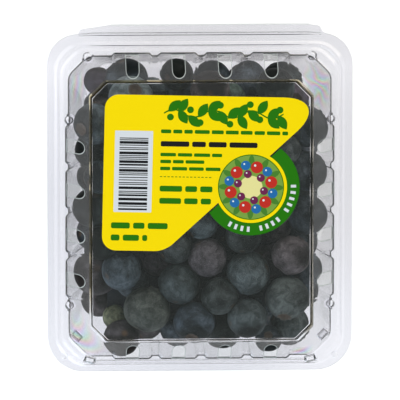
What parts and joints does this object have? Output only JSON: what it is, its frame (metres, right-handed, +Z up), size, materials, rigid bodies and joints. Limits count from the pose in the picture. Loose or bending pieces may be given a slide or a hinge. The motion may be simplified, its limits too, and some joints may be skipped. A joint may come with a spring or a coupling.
{
  "type": "punnet of blueberries",
  "caption": "Clear hinged clamshell punnet full of blueberries, with ribbed leaning walls, vent slots, a wide flange, a folding lid and a large label on the lid.",
  "frame": {"origin": "middle of the whole shut pack, on the surface it stands on", "axes": "+Z up through the lid, +Y towards the hinge, +X to the right as seen from the front lip"},
  "size_m": [0.122, 0.1402, 0.0527],
  "materials": {
    "tray": "clear formed sheet",
    "lid": "clear formed sheet",
    "label": "printed label, smooth",
    "berries": "waxy bloom over dark skin"
  },
  "bodies": {
    "base": {"tray": "tray", "berries": "berries"},
    "lid": {"lid": "lid", "label": "label"}
  },
  "joints": [
    {"name": "lid_hinge", "type": "hinge", "parent": "base", "child": "lid", "pos_m": [0, 0.07022, 0.037], "axis": [-1, 0, 0], "range_deg": [0, 180]}
  ]
}
